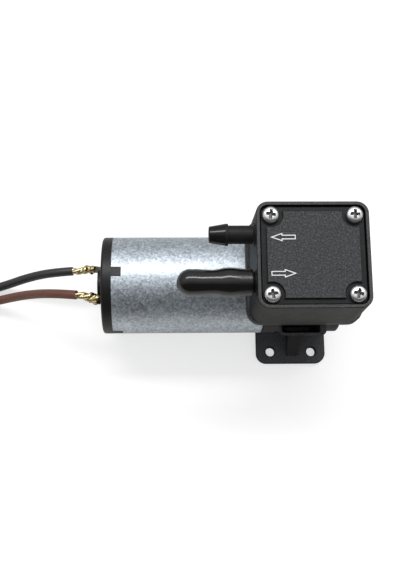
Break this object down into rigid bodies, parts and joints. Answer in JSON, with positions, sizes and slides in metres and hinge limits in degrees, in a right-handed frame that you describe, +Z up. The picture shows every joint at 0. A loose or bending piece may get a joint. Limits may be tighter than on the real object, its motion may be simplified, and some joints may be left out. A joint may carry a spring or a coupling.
{
  "type": "laboratory diaphragm pump",
  "caption": "Small gas diaphragm pump on a foot plate: round brushed motor, square valve head with two hose barbs, one capped, and two loose leads.",
  "frame": {"origin": "middle of the foot's underside, straight below the middle of the head", "axes": "+Z up, motor shaft along X with the motor on -X, hose barbs side by side along Y"},
  "size_m": [0.18, 0.0859, 0.0704],
  "materials": {
    "black_nylon": "fine-grained moulded nylon, matt black",
    "cover_nylon": "spark-eroded grain, matt dark grey",
    "cap_nylon": "moulded, matt black",
    "rod_nylon": "natural glass-filled nylon",
    "valve_rubber": "smooth moulded rubber",
    "soft_vinyl": "glossy dip-moulded vinyl",
    "black_insulation": "smooth extruded insulation, black",
    "brown_insulation": "smooth extruded insulation, brown",
    "screw_nickel": "bright plated steel",
    "can_zinc": "zinc-coated sheet with a fine spangle",
    "plain_steel": "ground steel",
    "cast_alloy": "die-cast alloy",
    "core_steel": "stacked steel laminations",
    "enamelled_copper": "enamelled copper wire",
    "commutator_copper": "turned copper segments",
    "sintered_bronze": "oil-filled sintered bronze",
    "terminal_brass": "stamped brass",
    "tinned_copper": "tinned stranded copper",
    "carbon": "pressed carbon and copper",
    "ferrite": "sintered ferrite",
    "white_nylon": "polished nylon"
  },
  "bodies": {
    "root": {"crankcase": "black_nylon", "crank_cover": "black_nylon", "head_body": "black_nylon", "cover_gasket": "valve_rubber", "cover_plate": "cover_nylon", "cover_screws": "screw_nickel", "valve_retainers": "white_nylon", "diaphragm": "valve_rubber", "motor_can": "can_zinc", "magnets": "ferrite", "motor_end_cap": "cap_nylon", "front_bush": "sintered_bronze", "rear_bush": "sintered_bronze", "brushes": "carbon", "brush_arms": "terminal_brass", "terminals": "terminal_brass", "motor_screws": "screw_nickel", "lead_ends": "terminal_brass", "black_lead": "black_insulation", "brown_lead": "brown_insulation", "black_lead_tip": "tinned_copper", "brown_lead_tip": "tinned_copper"},
    "rotor": {"motor_shaft": "plain_steel", "armature_core": "core_steel", "armature_winding": "enamelled_copper", "commutator": "commutator_copper", "thrust_washers": "white_nylon", "eccentric": "cast_alloy", "grub_screw": "plain_steel", "bearing_inner_race": "plain_steel"},
    "rod": {"connecting_rod": "rod_nylon", "bearing_outer_race": "plain_steel", "bearing_balls": "plain_steel", "bearing_cage": "white_nylon", "clamp_washer": "plain_steel", "clamp_screw": "screw_nickel"},
    "outlet_valve": {"outlet_valve_disc": "valve_rubber"},
    "inlet_valve": {"inlet_valve_disc": "valve_rubber"},
    "transport_cap": {"inlet_cap": "soft_vinyl"}
  },
  "joints": [
    {"name": "rotor_spin", "type": "hinge", "parent": "root", "child": "rotor", "pos_m": [0, 0, 0.0225], "axis": [1, 0, 0], "continuous": true},
    {"name": "rod_orbit", "type": "hinge", "parent": "rotor", "child": "rod", "pos_m": [0, 0, 0.0207], "axis": [1, 0, 0], "continuous": true, "deforming": ["diaphragm"]},
    {"name": "outlet_valve_lift", "type": "slide", "parent": "root", "child": "outlet_valve", "axis": [0, 0, 1], "range_m": [0, 0.00055]},
    {"name": "inlet_valve_drop", "type": "slide", "parent": "root", "child": "inlet_valve", "axis": [0, 0, -1], "range_m": [0, 0.00055]},
    {"name": "transport_cap_pull", "type": "slide", "parent": "root", "child": "transport_cap", "axis": [-1, 0, 0], "range_m": [0, 0.022]}
  ],
  "couplings": [
    {"joint": "rod_orbit", "follows": "rotor_spin", "ratio": -1}
  ]
}
